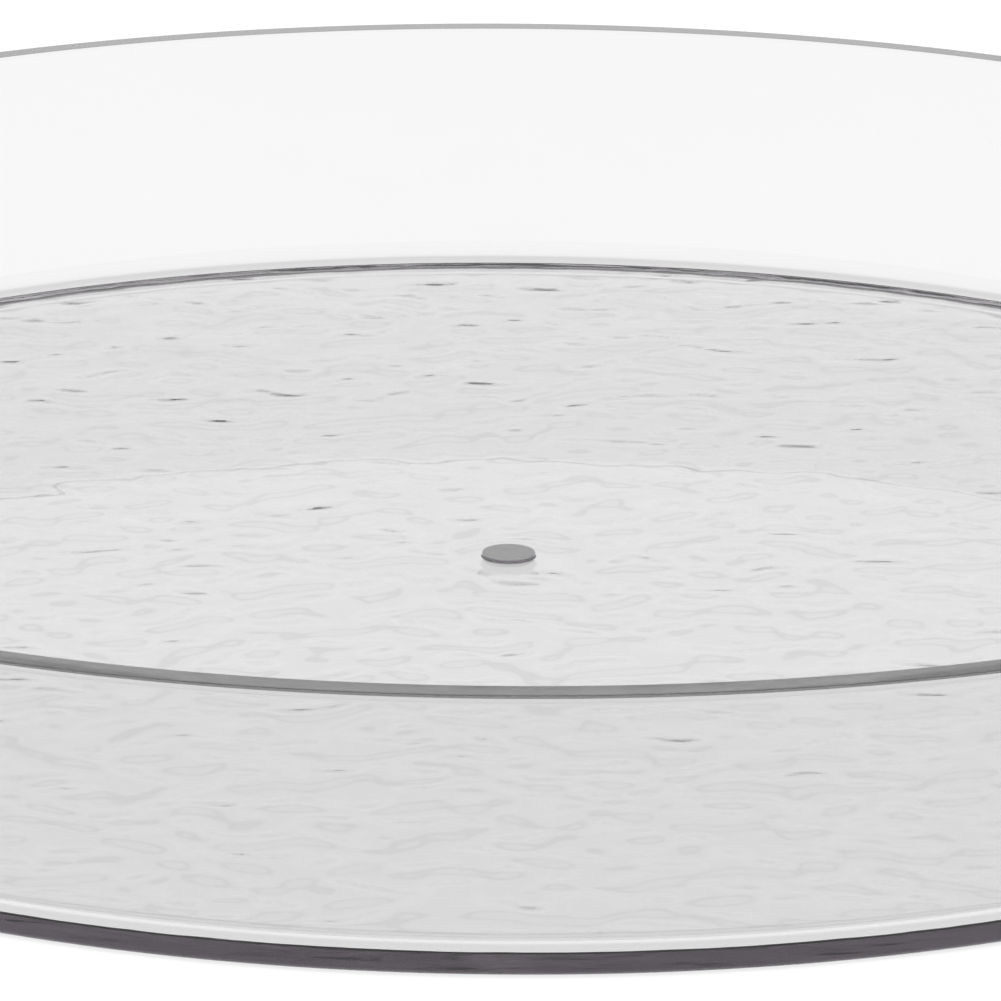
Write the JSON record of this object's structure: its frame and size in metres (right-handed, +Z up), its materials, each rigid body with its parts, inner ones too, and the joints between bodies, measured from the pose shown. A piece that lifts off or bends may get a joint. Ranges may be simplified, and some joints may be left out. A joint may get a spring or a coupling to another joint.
{
  "type": "dresser vanity tray",
  "caption": "Round clear moulded vanity tray with a low flared wall, a gently rippled floor and small soft foot pads, for perfume bottles and cosmetics on a dresser.",
  "frame": {"origin": "on the table, under the centre of the tray", "axes": "+Z up along the tray's axis; -Y towards the front; the foot pads stand on the diagonals between X and Y"},
  "size_m": [0.2396, 0.2396, 0.0289],
  "materials": {
    "clear_plastic": "clear moulded plastic with a faint grey-violet tint, polished inside, with a gentle water-like ripple under the floor",
    "soft_pad": "soft translucent elastomer with a satin surface"
  },
  "bodies": {
    "root": {"tray_body": "clear_plastic", "foot_pad_1": "soft_pad", "foot_pad_2": "soft_pad", "foot_pad_3": "soft_pad", "foot_pad_4": "soft_pad"}
  },
  "joints": []
}
